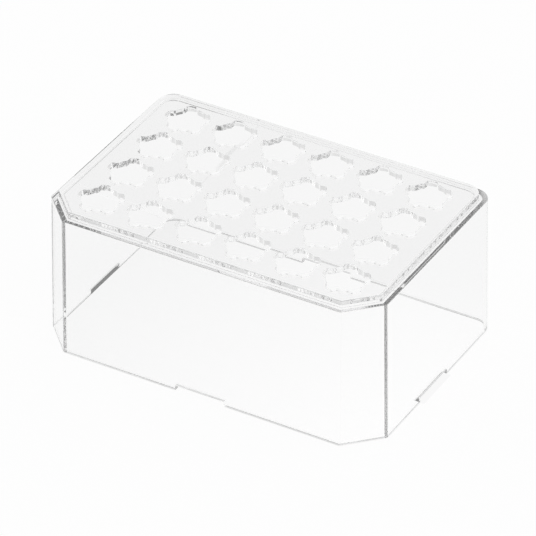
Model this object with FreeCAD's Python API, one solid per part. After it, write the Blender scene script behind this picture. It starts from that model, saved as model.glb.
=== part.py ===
# Microcentrifuge tube rack: one clear moulded box, open underneath, with 24 scalloped tube holes.
# Own frame in mm: origin at the middle of the bottom rim, +X along the six columns,
# +Y towards the back (the side with rounded corners), +Z up.
import FreeCAD, Part
import math
import os
from FreeCAD import Vector

# tube holes
tube_columns = 6
tube_rows = 4
tube_pitch = 18.0            # centre to centre, both ways
nose_radius = 6.35           # to the five noses that steady the tube
lobe_radius = 7.85           # to the bottom of the five scallops
lobe_count = 5
lobe_mouth_width = 4.4       # scallop width where it opens on the nose circle
lobe_floor_width = 3.2       # scallop width at its outer end
scallop_round = 0.4          # rounding of the upright corners of a scallop
first_lobe_angle = 36.0      # degrees from +X, so that one nose points along +X

# box
end_margin = 6.4             # plate beyond the outermost scallops, along X
side_margin = 4.0            # the same along Y
ledge_height = 50.9          # bottom rim to the stacking ledge
plateau_rise = 2.5           # stacking ledge to the top face
side_draft = 1.1             # degrees, each outside wall leans in by this much
wall_thickness = 1.8
plate_thickness = 2.1
ledge_thickness = 0.9        # shelf under the stacking ledge
plateau_wall = 1.4           # upright band between the ledge and the top face
nest_clearance = 1.5         # gap each side when another rack stands on the ledge

# corners and edges
front_chamfer = 10.7         # leg of the two cut front corners, at the ledge
chamfer_blend = 0.8          # rounding where a cut corner meets a wall
back_radius = 5.8            # two rounded back corners, at the ledge
plateau_back_radius = 5.2    # the same corners of the raised top
edge_break = 0.2             # bevel on the exposed top edges
smallest_blend = 0.3

# notches in the bottom rim, one in the middle of each wall
notch_width = 18.0
notch_height = 1.8

# sizes that follow from the ones above
total_height = ledge_height + plateau_rise
lean = ledge_height * math.tan(math.radians(side_draft))
ledge_width = wall_thickness + nest_clearance - lean
plateau_half_length = (tube_columns - 1) / 2 * tube_pitch + lobe_radius + end_margin
plateau_half_width = (tube_rows - 1) / 2 * tube_pitch + lobe_radius + side_margin
ledge_half_length = plateau_half_length + ledge_width
ledge_half_width = plateau_half_width + ledge_width
ledge_underside = ledge_height - ledge_thickness
plate_underside = total_height - plate_thickness
plateau_round = plateau_back_radius + ledge_width    # its corner, grown to the ledge outline
overrun = 1.0                # how far cutting shapes run past the faces they cut


def corner_blend(before, corner, after, radius):
    """Start, middle and end of the arc that rounds one corner of an outline."""
    back = (before - corner).normalize()
    ahead = (after - corner).normalize()
    half_angle = back.getAngle(ahead) / 2
    reach = radius / math.tan(half_angle)
    inward = (back + ahead).normalize()
    centre = corner + inward * (radius / math.sin(half_angle))
    return corner + back * reach, centre - inward * radius, corner + ahead * reach


def rack_outline(inset, z, back_corner):
    """Closed outline of the rack, moved inwards by inset from the ledge outline.

    back_corner is the radius of the back corners on the ledge outline itself."""
    x = ledge_half_length - inset
    y = ledge_half_width - inset
    leg = front_chamfer - inset * (2 - math.sqrt(2))
    blend = max(chamfer_blend - inset, smallest_blend)
    round_back = back_corner - inset
    corners = [
        (Vector(-x + leg, -y, z), blend), (Vector(x - leg, -y, z), blend),
        (Vector(x, -y + leg, z), blend), (Vector(x, y, z), round_back),
        (Vector(-x, y, z), round_back), (Vector(-x, -y + leg, z), blend),
    ]
    arcs = []
    for i, (corner, radius) in enumerate(corners):
        before = corners[i - 1][0]
        after = corners[(i + 1) % len(corners)][0]
        arcs.append(corner_blend(before, corner, after, radius))
    edges = []
    for i, (start, middle, end) in enumerate(arcs):
        edges.append(Part.Arc(start, middle, end).toShape())
        edges.append(Part.makeLine(end, arcs[(i + 1) % len(arcs)][0]))
    return Part.Wire(edges)


def stacked_solid(back_corner, sections):
    """Solid through a list of (inset, height) outlines, straight between them."""
    outlines = [rack_outline(inset, z, back_corner) for inset, z in sections]
    return Part.makeLoft(outlines, True, True)


def drafted_inset(z):
    """Inset of the outside wall at a height, from the ledge outline."""
    return -lean * (1 - z / ledge_height)


def outer_shape():
    shoulder = ledge_height - edge_break
    box = stacked_solid(back_radius, [(drafted_inset(0), 0), (drafted_inset(shoulder), shoulder),
                                      (edge_break, ledge_height)])
    plateau = stacked_solid(plateau_round, [(ledge_width, ledge_height - overrun),
                                            (ledge_width, total_height - edge_break),
                                            (ledge_width + edge_break, total_height)])
    return box.fuse(plateau)


def inner_hollow():
    wall_top = drafted_inset(ledge_underside) + wall_thickness
    lower = stacked_solid(back_radius, [(drafted_inset(-overrun) + wall_thickness, -overrun),
                                        (wall_top, ledge_underside)])
    upper = stacked_solid(plateau_round, [(ledge_width + plateau_wall, ledge_underside - overrun),
                                          (ledge_width + plateau_wall, plate_underside)])
    return lower.fuse(upper)


def polar(radius, degrees, z=0.0):
    angle = math.radians(degrees)
    return Vector(radius * math.cos(angle), radius * math.sin(angle), z)


def hole_outline(z):
    """One scalloped hole: nose arcs joined by five scallops that narrow outwards."""
    mouth = math.degrees(math.asin(lobe_mouth_width / 2 / nose_radius))
    floor = math.degrees(math.asin(lobe_floor_width / 2 / lobe_radius))
    step = 360.0 / lobe_count
    edges = []
    for k in range(lobe_count):
        axis = first_lobe_angle + k * step
        mouth_start = polar(nose_radius, axis - mouth, z)
        mouth_end = polar(nose_radius, axis + mouth, z)
        floor_start = polar(lobe_radius, axis - floor, z)
        floor_end = polar(lobe_radius, axis + floor, z)
        nose_middle = polar(nose_radius, axis + step / 2, z)
        next_mouth = polar(nose_radius, axis + step - mouth, z)
        edges.append(Part.makeLine(mouth_start, floor_start))
        edges.append(Part.Arc(floor_start, polar(lobe_radius, axis, z), floor_end).toShape())
        edges.append(Part.makeLine(floor_end, mouth_end))
        edges.append(Part.Arc(mouth_end, nose_middle, next_mouth).toShape())
    return Part.Wire(edges)


def is_upright(edge):
    return len(edge.Vertexes) == 2 and abs(edge.BoundBox.ZLength - edge.Length) < 1e-6


def hole_cutter():
    """Cutting shape for one hole, with the upright corners of its scallops rounded."""
    start = plate_underside - overrun
    prism = Part.Face(hole_outline(start)).extrude(Vector(0, 0, total_height + overrun - start))
    return prism.makeFillet(scallop_round, [e for e in prism.Edges if is_upright(e)])


def tube_centres():
    for row in range(tube_rows):
        for column in range(tube_columns):
            yield Vector((column - (tube_columns - 1) / 2) * tube_pitch,
                         (row - (tube_rows - 1) / 2) * tube_pitch, 0)


def notch_cutters():
    """Two low bars that cross under the rack and cut all four walls."""
    length = 2 * (ledge_half_length + lean + overrun)
    width = 2 * (ledge_half_width + lean + overrun)
    height = notch_height + overrun
    along_x = Part.makeBox(length, notch_width, height,
                           Vector(-length / 2, -notch_width / 2, -overrun))
    along_y = Part.makeBox(notch_width, width, height,
                           Vector(-notch_width / 2, -width / 2, -overrun))
    return [along_x, along_y]


def rack_body():
    shell = outer_shape().cut(inner_hollow())
    cutter = hole_cutter()
    holes = [cutter.translated(centre) for centre in tube_centres()]
    return shell.cut(holes + notch_cutters()).removeSplitter()


body = rack_body()
print("rim", round(2 * (ledge_half_length + lean), 2), round(2 * (ledge_half_width + lean), 2))
print("valid", body.isValid(), "solids", len(body.Solids), "faces", len(body.Faces))
print("volume cm3", round(body.Volume / 1000, 2), "ledge", round(ledge_width, 2))
os.makedirs("parts", exist_ok=True)
body.exportStep("parts/rack_body.step")
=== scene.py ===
import math

import bmesh
import bpy
from mathutils import Matrix, Vector


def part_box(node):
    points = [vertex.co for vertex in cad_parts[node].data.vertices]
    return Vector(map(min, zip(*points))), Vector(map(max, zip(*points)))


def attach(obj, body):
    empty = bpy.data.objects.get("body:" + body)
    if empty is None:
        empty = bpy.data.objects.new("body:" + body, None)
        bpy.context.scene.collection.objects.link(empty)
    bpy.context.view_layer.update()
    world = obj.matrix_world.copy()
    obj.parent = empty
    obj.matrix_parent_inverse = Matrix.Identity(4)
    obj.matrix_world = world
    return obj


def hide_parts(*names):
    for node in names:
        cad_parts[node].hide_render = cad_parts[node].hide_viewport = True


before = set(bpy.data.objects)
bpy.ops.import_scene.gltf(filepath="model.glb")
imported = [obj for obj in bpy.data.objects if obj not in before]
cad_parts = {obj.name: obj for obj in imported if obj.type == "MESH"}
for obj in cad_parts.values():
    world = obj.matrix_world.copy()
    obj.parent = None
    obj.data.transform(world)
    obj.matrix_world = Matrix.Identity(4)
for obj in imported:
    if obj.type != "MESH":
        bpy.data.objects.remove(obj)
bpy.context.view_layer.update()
mm = 0.001
lowCorner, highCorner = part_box("rack_body")
print("frame loaded, box", [round(v / mm, 2) for v in highCorner - lowCorner], "mm")

# rack: sizes in mm, the same as the solid's; length, width and height come from its box
rack = {
    "columns": 6, "rows": 4, "pitch": 18.0,
    "draft": 1.1,              # degrees
    "ledgeHeight": 50.9,
    "wall": 1.8, "plate": 2.1, "ledgeThick": 0.9, "plateauWall": 1.4,
    "nestClearance": 1.5,
    "frontLeg": 10.7,          # cut front corners, leg at the ledge
    "backRadius": 5.8,         # rounded back corners, at the ledge
    "plateauRadius": 5.2,      # the same corners of the raised top
    "radiusSegments": 24,
    "cutTurn": 45,             # degrees, wall to cut corner
    "cornerBlend": 0.8, "blendSegments": 4,      # upright edges of the cut corners
    "notchWidth": 18.0, "notchHeight": 1.8,
    # moulded edges are never knife sharp, but crisper where the tool shuts off;
    # an edge is rounded where it turns by more than these degrees
    "edgeRound": 0.2, "edgeSegments": 3, "edgeTurn": 30,
    "holeEdge": 0.04, "holeEdgeSegments": 2, "holeEdgeTurn": 50,
    "plateauStart": 0.3,       # where the raised top's block begins, above the ledge's underside
    "weld": 0.001,
}
# scalloped holes, mm and degrees
hole = {
    "nose": 6.35, "lobe": 7.85, "lobes": 5,
    "mouth": 4.4, "floor": 3.2,
    "round": 0.4, "roundSegments": 4, "roundTurn": 40,
    "firstLobe": 36.0, "noseSteps": 6, "floorSteps": 2,
    "weld": 0.01,
}
past = 1             # mm that a cutter reaches past the surface it cuts
arcProfile = 0.5     # a bevel's shape, as part of a circle
lean = rack["ledgeHeight"] * math.tan(math.radians(rack["draft"]))    # of each wall, rim to ledge


def objectFromBmesh(bm, name):
    mesh = bpy.data.meshes.new(name)
    bm.to_mesh(mesh)
    bm.free()
    obj = bpy.data.objects.new(name, mesh)
    bpy.context.scene.collection.objects.link(obj)
    return obj


def bakeModifiers(obj):
    depsgraph = bpy.context.evaluated_depsgraph_get()
    finished = bpy.data.meshes.new_from_object(obj.evaluated_get(depsgraph))
    obj.modifiers.clear()
    obj.data = finished


def insetUp(bm, face, thickness, depth):
    # the face steps inwards by thickness and forwards by depth; its ring becomes a wall
    bmesh.ops.inset_region(bm, faces=[face], thickness=thickness * mm, depth=depth * mm,
                           use_boundary=True, use_even_offset=True)


def outlineFace(bm, halfX, halfY, leg, radius, z):
    # one face: two cut corners at the front, two rounded ones at the back
    place = Matrix.Translation((0, 0, z)) @ Matrix.Diagonal((halfX, halfY, 1, 1))
    made = bmesh.ops.create_grid(bm, x_segments=1, y_segments=1, size=1, matrix=place)
    front = [v for v in made["verts"] if v.co.y < 0]
    back = [v for v in made["verts"] if v.co.y > 0]
    bmesh.ops.bevel(bm, geom=front, affect="VERTICES", offset=leg * mm,
                    segments=1, profile=arcProfile, material=-1)
    bmesh.ops.bevel(bm, geom=back, affect="VERTICES", offset=radius * mm,
                    segments=rack["radiusSegments"], profile=arcProfile, material=-1)
    bm.faces.ensure_lookup_table()
    return bm.faces[-1]


def cornerLeg(inset):
    # leg of a cut corner on an outline moved inwards from the ledge's
    return rack["frontLeg"] - inset * (2 - math.sqrt(2))


def rimFace(bm, z=0.0):
    return outlineFace(bm, highCorner.x, highCorner.y, cornerLeg(-lean), rack["backRadius"] + lean, z)


def plateauPrism(ledgeWidth, bottom, top, inset):
    # a straight block with the raised top's outline, moved inwards by inset
    bm = bmesh.new()
    face = outlineFace(bm, highCorner.x - (lean + ledgeWidth + inset) * mm,
                       highCorner.y - (lean + ledgeWidth + inset) * mm,
                       cornerLeg(ledgeWidth + inset), rack["plateauRadius"] - inset, bottom * mm)
    grown = bmesh.ops.extrude_face_region(bm, geom=[face])
    bmesh.ops.translate(bm, verts=[g for g in grown["geom"] if isinstance(g, bmesh.types.BMVert)],
                        vec=(0, 0, (top - bottom) * mm))
    bmesh.ops.recalc_face_normals(bm, faces=bm.faces)
    return objectFromBmesh(bm, "plateau")


def buildShell(ledgeUnder):
    # the box up to the ledge: outside up from the rim, inside up from the same rim
    bm = bmesh.new()
    outside = rimFace(bm)
    copied = bmesh.ops.duplicate(bm, geom=[outside])
    inside = [g for g in copied["geom"] if isinstance(g, bmesh.types.BMFace)][0]
    inside.normal_flip()
    insetUp(bm, outside, lean, rack["ledgeHeight"])                              # drafted walls
    insetUp(bm, inside, rack["wall"], 0)                                         # rim
    insetUp(bm, inside, lean * ledgeUnder / rack["ledgeHeight"], -ledgeUnder)    # drafted inside
    bmesh.ops.remove_doubles(bm, verts=bm.verts, dist=rack["weld"] * mm)
    bmesh.ops.recalc_face_normals(bm, faces=bm.faces)
    return bm


def buildHoleCutters(plateUnder, height):
    # one scallop and one nose, turned to make all five, then copied over the grid
    bm = bmesh.new()
    step = 360.0 / hole["lobes"]
    mouthHalf = math.degrees(math.asin(hole["mouth"] / 2 / hole["nose"]))
    floorHalf = math.degrees(math.asin(hole["floor"] / 2 / hole["lobe"]))
    under = (plateUnder - past) * mm

    def polar(radius, degrees):
        turn = math.radians(degrees)
        return Vector((radius * mm * math.cos(turn), radius * mm * math.sin(turn), under))

    axis = hole["firstLobe"]
    mouthIn = bm.verts.new(polar(hole["nose"], axis - mouthHalf))
    floorIn = bm.verts.new(polar(hole["lobe"], axis - floorHalf))
    mouthOut = bm.verts.new(polar(hole["nose"], axis + mouthHalf))
    bm.edges.new((mouthIn, floorIn))
    swept = bmesh.ops.spin(bm, geom=[floorIn], angle=math.radians(2 * floorHalf),
                           steps=hole["floorSteps"], axis=(0, 0, 1), cent=(0, 0, under))
    floorOut = [g for g in swept["geom_last"] if isinstance(g, bmesh.types.BMVert)][0]
    bm.edges.new((floorOut, mouthOut))
    bmesh.ops.spin(bm, geom=[mouthOut], angle=math.radians(step - 2 * mouthHalf),
                   steps=hole["noseSteps"], axis=(0, 0, 1), cent=(0, 0, under))
    bmesh.ops.spin(bm, geom=bm.verts[:] + bm.edges[:], angle=math.radians(360 - step),
                   steps=hole["lobes"] - 1, axis=(0, 0, 1), cent=(0, 0, under), use_duplicate=True)
    bmesh.ops.remove_doubles(bm, verts=bm.verts, dist=hole["weld"] * mm)
    corners = [v for v in bm.verts
               if math.degrees((v.link_edges[0].other_vert(v).co - v.co).angle(
                   v.co - v.link_edges[1].other_vert(v).co)) > hole["roundTurn"]]
    bmesh.ops.bevel(bm, geom=corners, affect="VERTICES", offset=hole["round"] * mm,
                    segments=hole["roundSegments"], profile=arcProfile, material=-1)
    bmesh.ops.contextual_create(bm, geom=bm.edges)
    grown = bmesh.ops.extrude_face_region(bm, geom=bm.faces[:])
    top = [g for g in grown["geom"] if isinstance(g, bmesh.types.BMVert)]
    bmesh.ops.translate(bm, verts=top, vec=(0, 0, (height + past - plateUnder + past) * mm))
    bmesh.ops.recalc_face_normals(bm, faces=bm.faces)

    single = bm.verts[:] + bm.edges[:] + bm.faces[:]
    for row in range(rack["rows"]):
        for column in range(rack["columns"]):
            x = (column - (rack["columns"] - 1) / 2) * rack["pitch"] * mm
            y = (row - (rack["rows"] - 1) / 2) * rack["pitch"] * mm
            copied = bmesh.ops.duplicate(bm, geom=single)
            moved = [g for g in copied["geom"] if isinstance(g, bmesh.types.BMVert)]
            bmesh.ops.translate(bm, verts=moved, vec=(x, y, 0))
    bmesh.ops.delete(bm, geom=[g for g in single if isinstance(g, bmesh.types.BMVert)], context="VERTS")
    return objectFromBmesh(bm, "holeCutters")


def buildNotchCutters():
    # two low bars under the rack, crossing in the middle
    bm = bmesh.new()
    tall = rack["notchHeight"] + past
    for length, width in ((highCorner.x * 2 / mm + 4 * past, rack["notchWidth"]),
                          (rack["notchWidth"], highCorner.y * 2 / mm + 4 * past)):
        bmesh.ops.create_cube(bm, size=mm, matrix=Matrix.Translation(
            (0, 0, (rack["notchHeight"] - tall / 2) * mm)) @ Matrix.Diagonal((length, width, tall, 1)))
    return objectFromBmesh(bm, "notchCutters")


def combine(obj, other, operation):
    step = obj.modifiers.new("combine", "BOOLEAN")
    step.operation = operation
    step.solver = "EXACT"
    step.use_self = operation == "DIFFERENCE"
    step.object = other
    bakeModifiers(obj)
    bpy.data.objects.remove(other)


def roundEdges(obj, width, segments, sharperThan):
    step = obj.modifiers.new("moulded edges", "BEVEL")
    step.width, step.segments, step.profile = width * mm, segments, arcProfile
    step.limit_method, step.angle_limit = "ANGLE", math.radians(sharperThan)


def buildRack():
    height = highCorner.z / mm
    ledgeWidth = rack["wall"] + rack["nestClearance"] - lean
    ledgeUnder = rack["ledgeHeight"] - rack["ledgeThick"]
    plateUnder = height - rack["plate"]
    bm = buildShell(ledgeUnder)
    # upright outer edges of the cut corners, which run from rim to ledge, get their own radius
    uprights = [e for e in bm.edges
                if abs(e.verts[0].co.z - e.verts[1].co.z) > (ledgeUnder + rack["weld"]) * mm
                and e.calc_face_angle(0) > math.radians(rack["edgeTurn"])]
    blend = rack["cornerBlend"] * math.tan(math.radians(rack["cutTurn"] / 2))
    bmesh.ops.bevel(bm, geom=uprights, affect="EDGES", offset=blend * mm,
                    segments=rack["blendSegments"], profile=arcProfile, material=-1)
    shell = objectFromBmesh(bm, "rackBody")
    raised = plateauPrism(ledgeWidth, ledgeUnder + rack["plateauStart"], height, 0)
    hollow = plateauPrism(ledgeWidth, ledgeUnder - past, plateUnder, rack["plateauWall"])
    combine(shell, raised, "UNION")
    combine(shell, hollow, "DIFFERENCE")
    roundEdges(shell, rack["edgeRound"], rack["edgeSegments"], rack["edgeTurn"])
    bakeModifiers(shell)
    combine(shell, buildHoleCutters(plateUnder, height), "DIFFERENCE")
    combine(shell, buildNotchCutters(), "DIFFERENCE")
    for polygon in shell.data.polygons:
        polygon.use_smooth = True
    roundEdges(shell, rack["holeEdge"], rack["holeEdgeSegments"], rack["holeEdgeTurn"])
    shell.modifiers.new("flat faces stay flat", "WEIGHTED_NORMAL")
    return shell


def toLinear(hexColour):
    channels = [int(hexColour[i:i + 2], 16) / 255 for i in (1, 3, 5)]
    return tuple(c / 12.92 if c <= 0.04045 else ((c + 0.055) / 1.055) ** 2.4 for c in channels) + (1.0,)


def emptyMaterial(name):
    material = bpy.data.materials.new(name)
    material.use_nodes = True
    material.node_tree.nodes.clear()
    return material


def addNode(tree, kind, settings=None, values=None, links=None):
    # one node: its settings, its own socket values and what feeds it
    node = tree.nodes.new(kind)
    for key, value in (settings or {}).items():
        setattr(node, key, value)
    for key, value in (values or {}).items():
        node.inputs[key].default_value = value
    for key, source in (links or {}).items():
        tree.links.new(source, node.inputs[key])
    return node


# clear polystyrene, injection moulded and polished: hard, bright edges, nearly invisible walls
clearPlastic = {
    "colour": "#FFFFFF", "ior": 1.58,
    "greyPerMetre": 2.0, "greyColour": "#000000",
    "waveSize": 9.0, "waveHeight": 0.004, "waveDetail": 1.0,    # mm; flow marks of the moulding
    "hazeSize": 4.0, "hazeDetail": 3.0,                         # mm; haze from handling
    "hazeBand": (0.5, 0.75), "haze": 0.012,                     # where it starts, and its roughness
}


def makeClearPolystyrene():
    material = emptyMaterial("clearPolystyreneMoulded")
    tree = material.node_tree
    place = addNode(tree, "ShaderNodeTexCoord").outputs["Object"]
    # faint waves bend what shows through the walls, as moulded sheets do
    waves = addNode(tree, "ShaderNodeTexNoise", values={
        "Scale": 1 / (clearPlastic["waveSize"] * mm), "Detail": clearPlastic["waveDetail"]},
        links={"Vector": place})
    bent = addNode(tree, "ShaderNodeBump", values={"Distance": clearPlastic["waveHeight"] * mm},
                   links={"Height": waves.outputs["Fac"]})
    # a trace of haze takes the hardness off the reflections in patches
    patches = addNode(tree, "ShaderNodeTexNoise", values={
        "Scale": 1 / (clearPlastic["hazeSize"] * mm), "Detail": clearPlastic["hazeDetail"]},
        links={"Vector": place})
    hazeStart, hazeFull = clearPlastic["hazeBand"]
    haze = addNode(tree, "ShaderNodeMapRange", values={
        "From Min": hazeStart, "From Max": hazeFull, "To Max": clearPlastic["haze"]},
        links={"Value": patches.outputs["Fac"]})
    shader = addNode(tree, "ShaderNodeBsdfPrincipled", values={
        "Base Color": toLinear(clearPlastic["colour"]), "IOR": clearPlastic["ior"],
        "Transmission Weight": 1.0}, links={"Roughness": haze.outputs[0], "Normal": bent.outputs[0]})
    inside = addNode(tree, "ShaderNodeVolumeAbsorption", values={
        "Color": toLinear(clearPlastic["greyColour"]), "Density": clearPlastic["greyPerMetre"]})
    addNode(tree, "ShaderNodeOutputMaterial", links={
        "Surface": shader.outputs[0], "Volume": inside.outputs[0]})
    return material


# studio: pale paper with painted shade under and behind the rack; mm, and 1 for full light
studio = {
    "floorSize": 6000.0, "floorDrop": 0.05, "paper": "#FDFDFD", "floorDiffuse": 0.04,
    # painted contact shade on the paper next to and under the rim
    "contactShadeReach": 0.3, "contactShadeTone": 0.8, "contactShadeSamples": 8,
    # painted shade of the rack on the open paper
    "shadeTone": 0.94, "shadeBand": (-30.0, 40.0), "shadeTowards": (-0.5, 0.86, 0),
    # painted shade of the rack's top on the paper inside the walls
    "insideShadeTone": 0.972, "insideSlope": 0.7, "slopeTowards": (0.9, -0.4),    # change per metre
    "insideLift": 0.01, "patchLift": 0.02,        # over the open floor, one above the other
    # painted shade for the strips under the walls, and their painted lit tone
    "wallShadeTone": "#727272", "wallLitTone": "#F8F8F8",
    "backFade": (18, 46), "frontFade": (-27, -17), "leftFade": (-48, -60),    # lit to dark
    # painted shade at the right notch
    "notchSpread": 1.4, "notchReach": 4.0,
    "horizon": 0.95, "ringBand": (0.25, 0.45), "topBand": (0.66, 0.82),    # bands: sine of the rise
    "bounces": 160,            # light is guided a long way inside the walls
}
# surround by compass, degrees from +X and level: half-way up, then overhead
ringLevels = ((0, 1.15), (30, 1.5), (75, 0.80), (120, 0.69), (165, 0.90), (210, 0.59),
              (255, 0.36), (300, 1.21), (345, 1.02))
topLevels = ((0, 1.4), (60, 0.6), (120, 0.1), (180, 0.15), (240, 0.25), (300, 0.8))


def distanceAlong(tree, direction):
    # how far a floor point lies along a direction, in mm
    place = addNode(tree, "ShaderNodeTexCoord")
    along = addNode(tree, "ShaderNodeVectorMath", {"operation": "DOT_PRODUCT"}, {1: direction},
                    {0: place.outputs["Object"]})
    return addNode(tree, "ShaderNodeMath", {"operation": "MULTIPLY"}, {1: 1 / mm},
                   {0: along.outputs["Value"]}).outputs[0]


def paperMaterial(name, tone):
    # tone: a function that adds the nodes for the paper's brightness and its painted shade, which only
    # the camera
    #  and the clear plastic see; to other light it is plain white paper
    material = emptyMaterial(name)
    tree = material.node_tree
    glow = addNode(tree, "ShaderNodeEmission", values={"Color": (1, 1, 1, 1)},
                   links={"Strength": tone(tree)})
    paper = addNode(tree, "ShaderNodeBsdfDiffuse", values={"Color": toLinear(studio["paper"])})
    rays = addNode(tree, "ShaderNodeLightPath")
    seen = rays.outputs["Is Camera Ray"]
    for kind in ("Is Glossy Ray", "Is Transmission Ray"):
        seen = addNode(tree, "ShaderNodeMath", {"operation": "MAXIMUM"},
                       links={0: seen, 1: rays.outputs[kind]}).outputs[0]
    amount = addNode(tree, "ShaderNodeMath", {"operation": "MULTIPLY"},
                     {1: 1 - studio["floorDiffuse"]}, {0: seen})
    both = addNode(tree, "ShaderNodeMixShader", links={
        0: amount.outputs[0], 1: paper.outputs[0], 2: glow.outputs[0]})
    addNode(tree, "ShaderNodeOutputMaterial", links={"Surface": both.outputs[0]})
    return material


def openFloorTone(tree):
    # painted contact shade: the paper's glow darkens where the rack's rim stands close over it
    contact = addNode(tree, "ShaderNodeAmbientOcclusion", {"samples": studio["contactShadeSamples"]},
                      {"Distance": studio["contactShadeReach"] * mm})
    tone = addNode(tree, "ShaderNodeMapRange", None, {"To Min": studio["contactShadeTone"], "To Max": 1.0},
                   {"Value": contact.outputs["AO"]})
    # the rack's own soft shade falls to the back left; only the plastic shows it
    lit, shady = studio["shadeBand"]
    shade = addNode(tree, "ShaderNodeMapRange", {"interpolation_type": "SMOOTHSTEP"}, {
        "From Min": lit, "From Max": shady, "To Min": 1.0, "To Max": studio["shadeTone"]},
        {"Value": distanceAlong(tree, studio["shadeTowards"])})
    rays = addNode(tree, "ShaderNodeLightPath")
    shaded = addNode(tree, "ShaderNodeMix", {"data_type": "FLOAT"}, {3: 1.0},
                     {0: rays.outputs["Is Camera Ray"], 2: shade.outputs[0]})
    return addNode(tree, "ShaderNodeMath", {"operation": "MULTIPLY"},
                   links={0: tone.outputs[0], 1: shaded.outputs[0]}).outputs[0]


def insideShadeTone(tree):
    # painted shade of the rack's top on the paper inside its walls, lighter towards the front right
    x, y = (part * studio["insideSlope"] * mm for part in studio["slopeTowards"])
    return addNode(tree, "ShaderNodeMath", {"operation": "ADD"}, {1: studio["insideShadeTone"]},
                   {0: distanceAlong(tree, (x, y, 0))}).outputs[0]


def makeFloor():
    bm = bmesh.new()
    bmesh.ops.create_grid(bm, x_segments=1, y_segments=1, size=studio["floorSize"] / 2 * mm,
                          matrix=Matrix.Translation((0, 0, -studio["floorDrop"] * mm)))
    floor = objectFromBmesh(bm, "studioFloor")
    floor.data.materials.append(paperMaterial("studioPaper", openFloorTone))


def paintedShadeMaterial(name, amount):
    # amount: a function that adds the nodes for how far the painted shade goes from lit to dark
    material = emptyMaterial(name)
    tree = material.node_tree
    colour = addNode(tree, "ShaderNodeMix", {"data_type": "RGBA"}, {
        6: toLinear(studio["wallLitTone"]), 7: toLinear(studio["wallShadeTone"])}, {0: amount(tree)})
    glow = addNode(tree, "ShaderNodeEmission", links={"Color": colour.outputs[2]})
    addNode(tree, "ShaderNodeOutputMaterial", links={"Surface": glow.outputs[0]})
    return material


def throughPlastic(tree, amount):
    # the bare paper at the notches stays pale when it is seen straight
    rays = addNode(tree, "ShaderNodeLightPath")
    straight = addNode(tree, "ShaderNodeMath", {"operation": "SUBTRACT"}, {0: 1.0},
                       {1: rays.outputs["Is Camera Ray"]})
    return addNode(tree, "ShaderNodeMath", {"operation": "MULTIPLY"}, links={
        0: amount, 1: straight.outputs[0]}).outputs[0]


def wallShadeAmount(tree):
    # painted shade: dark at the right and left walls, fading along the back wall and towards the lit
    # front corner
    place = addNode(tree, "ShaderNodeTexCoord")
    split = addNode(tree, "ShaderNodeSeparateXYZ", links={0: place.outputs["Object"]})
    dark = {}
    for end, axis in (("backFade", "X"), ("frontFade", "Y"), ("leftFade", "X")):
        start, full = studio[end]
        dark[end] = addNode(tree, "ShaderNodeMapRange", {"interpolation_type": "SMOOTHSTEP"},
                            {"From Min": start * mm, "From Max": full * mm},
                            {"Value": split.outputs[axis]}).outputs[0]
    right = addNode(tree, "ShaderNodeMath", {"operation": "MULTIPLY"}, links={
        0: dark["backFade"], 1: dark["frontFade"]})
    both = addNode(tree, "ShaderNodeMath", {"operation": "MAXIMUM"}, links={
        0: right.outputs[0], 1: dark["leftFade"]})
    return throughPlastic(tree, both.outputs[0])


def notchShadeAmount(tree):
    # painted shade, only for light that has just left the arch of the notch
    rays = addNode(tree, "ShaderNodeLightPath")
    near = addNode(tree, "ShaderNodeMath", {"operation": "LESS_THAN"}, {1: studio["notchReach"] * mm},
                   {0: rays.outputs["Ray Length"]})
    return throughPlastic(tree, near.outputs[0])


def makeRackFloor():
    # paper inside the walls, and the strips right under them, which get little light; both carry
    # painted shade
    bm = bmesh.new()
    middle = rimFace(bm, z=(studio["insideLift"] - studio["floorDrop"]) * mm)
    ring = bmesh.ops.inset_region(bm, faces=[middle], thickness=rack["wall"] * mm, depth=0,
                                  use_boundary=True, use_even_offset=True)["faces"]
    for face in ring:
        face.material_index = 1
    front = [f for f in ring if f.calc_center_median().y < rack["wall"] * mm - highCorner.y]
    bmesh.ops.delete(bm, geom=front, context="FACES")
    # painted shade at the right notch: light that comes down the right wall spreads where the notch
    # lifts it off the paper
    middleOfWall = Matrix.Translation((highCorner.x - rack["wall"] / 2 * mm, 0,
                                       (studio["patchLift"] - studio["floorDrop"]) * mm))
    halfSize = Matrix.Diagonal(((rack["wall"] / 2 + studio["notchSpread"]) * mm,
                                rack["notchWidth"] / 2 * mm, 1, 1))
    patch = bmesh.ops.create_grid(bm, x_segments=1, y_segments=1, size=1,
                                  matrix=middleOfWall @ halfSize)
    for face in patch["verts"][0].link_faces:
        face.material_index = 2
    bmesh.ops.recalc_face_normals(bm, faces=bm.faces)
    paper = objectFromBmesh(bm, "rackFloorPaintedShade")
    paper.data.materials.append(paperMaterial("paperInsidePaintedShade", insideShadeTone))
    paper.data.materials.append(paintedShadeMaterial("paintedShadeUnderWall", wallShadeAmount))
    paper.data.materials.append(paintedShadeMaterial("paintedShadeAtNotch", notchShadeAmount))


def compassLevel(tree, azimuth, levels):
    # level by compass direction: one ramp round the horizon, closed at -180 and 180 degrees
    ramp = addNode(tree, "ShaderNodeValToRGB", links={0: azimuth})
    stops = sorted(((degrees + 180) % 360 / 360, level) for degrees, level in levels)
    (firstAt, firstLevel), (lastAt, lastLevel) = stops[0], stops[-1]
    share = (1 - lastAt) / (1 - lastAt + firstAt)
    seam = lastLevel + (firstLevel - lastLevel) * share
    stops = [(0.0, seam)] * (firstAt > 0) + stops + [(1.0, seam if firstAt > 0 else firstLevel)]
    elements = ramp.color_ramp.elements
    while len(elements) < len(stops):
        elements.new(0.5)
    for element, (at, level) in zip(elements, stops):
        element.position = at
        element.color = (level, level, level, 1)
    return ramp.outputs["Color"]


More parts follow.
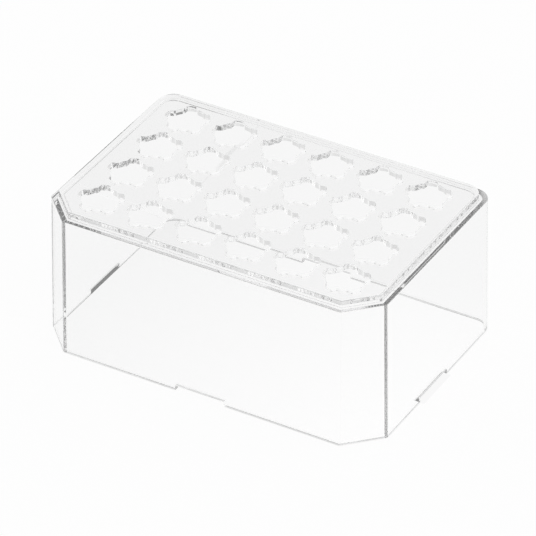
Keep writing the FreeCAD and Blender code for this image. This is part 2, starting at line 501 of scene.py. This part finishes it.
def makeWorld():
    world = bpy.data.worlds.new("studioSurround")
    bpy.context.scene.world = world
    world.use_nodes = True
    tree = world.node_tree
    tree.nodes.clear()
    direction = addNode(tree, "ShaderNodeTexCoord")
    split = addNode(tree, "ShaderNodeSeparateXYZ", links={0: direction.outputs["Generated"]})
    turn = addNode(tree, "ShaderNodeMath", {"operation": "ARCTAN2"}, links={
        0: split.outputs["Y"], 1: split.outputs["X"]})
    azimuth = addNode(tree, "ShaderNodeMapRange", None, {"From Min": -math.pi, "From Max": math.pi},
                      {"Value": turn.outputs[0]}).outputs[0]
    level = (studio["horizon"],) * 3 + (1,)
    for (bottom, top), levels in ((studio["ringBand"], ringLevels), (studio["topBand"], topLevels)):
        rise = addNode(tree, "ShaderNodeMapRange", {"interpolation_type": "SMOOTHSTEP"},
                       {"From Min": bottom, "From Max": top}, {"Value": split.outputs["Z"]})
        mix = addNode(tree, "ShaderNodeMix", {"data_type": "RGBA"},
                      links={0: rise.outputs[0], 7: compassLevel(tree, azimuth, levels)})
        if isinstance(level, tuple):
            mix.inputs[6].default_value = level
        else:
            tree.links.new(level, mix.inputs[6])
        level = mix.outputs[2]
    back = addNode(tree, "ShaderNodeBackground", links={"Color": level})
    addNode(tree, "ShaderNodeOutputWorld", links={"Surface": back.outputs[0]})


# a long lens over the front right corner; degrees, lens in mm, place and clip in metres
view = {
    "turn": 30.062, "tilt": 34.702, "roll": -0.229,
    "place": (0.62281, -1.07394, 0.88515),
    "lens": 313.15, "sensor": 36, "clip": (0.1, 20),
}


def placeCamera():
    turn, tilt, roll = (math.radians(view[angle]) for angle in ("turn", "tilt", "roll"))
    look = Vector((-math.sin(turn) * math.cos(tilt), math.cos(turn) * math.cos(tilt), -math.sin(tilt)))
    right = Vector((math.cos(turn), math.sin(turn), 0))
    up = right.cross(look)
    right, up = (right * math.cos(roll) + up * math.sin(roll),
                 up * math.cos(roll) - right * math.sin(roll))
    camera = bpy.data.cameras.new("camera")
    camera.lens, camera.sensor_width = view["lens"], view["sensor"]
    camera.clip_start, camera.clip_end = view["clip"]
    obj = bpy.data.objects.new("camera", camera)
    bpy.context.scene.collection.objects.link(obj)
    axes = Matrix((right, up, -look)).transposed().to_4x4()
    obj.matrix_world = Matrix.Translation(view["place"]) @ axes
    bpy.context.scene.camera = obj


rackBody = buildRack()
rackBody.data.materials.append(makeClearPolystyrene())
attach(rackBody, "root")
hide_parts("rack_body")
print("rack built")

makeFloor()
makeRackFloor()
makeWorld()
placeCamera()
scene = bpy.context.scene
scene.view_settings.view_transform = "Standard"
scene.cycles.max_bounces = studio["bounces"]
scene.cycles.transmission_bounces = studio["bounces"]
scene.cycles.glossy_bounces = studio["bounces"]
print("studio set")
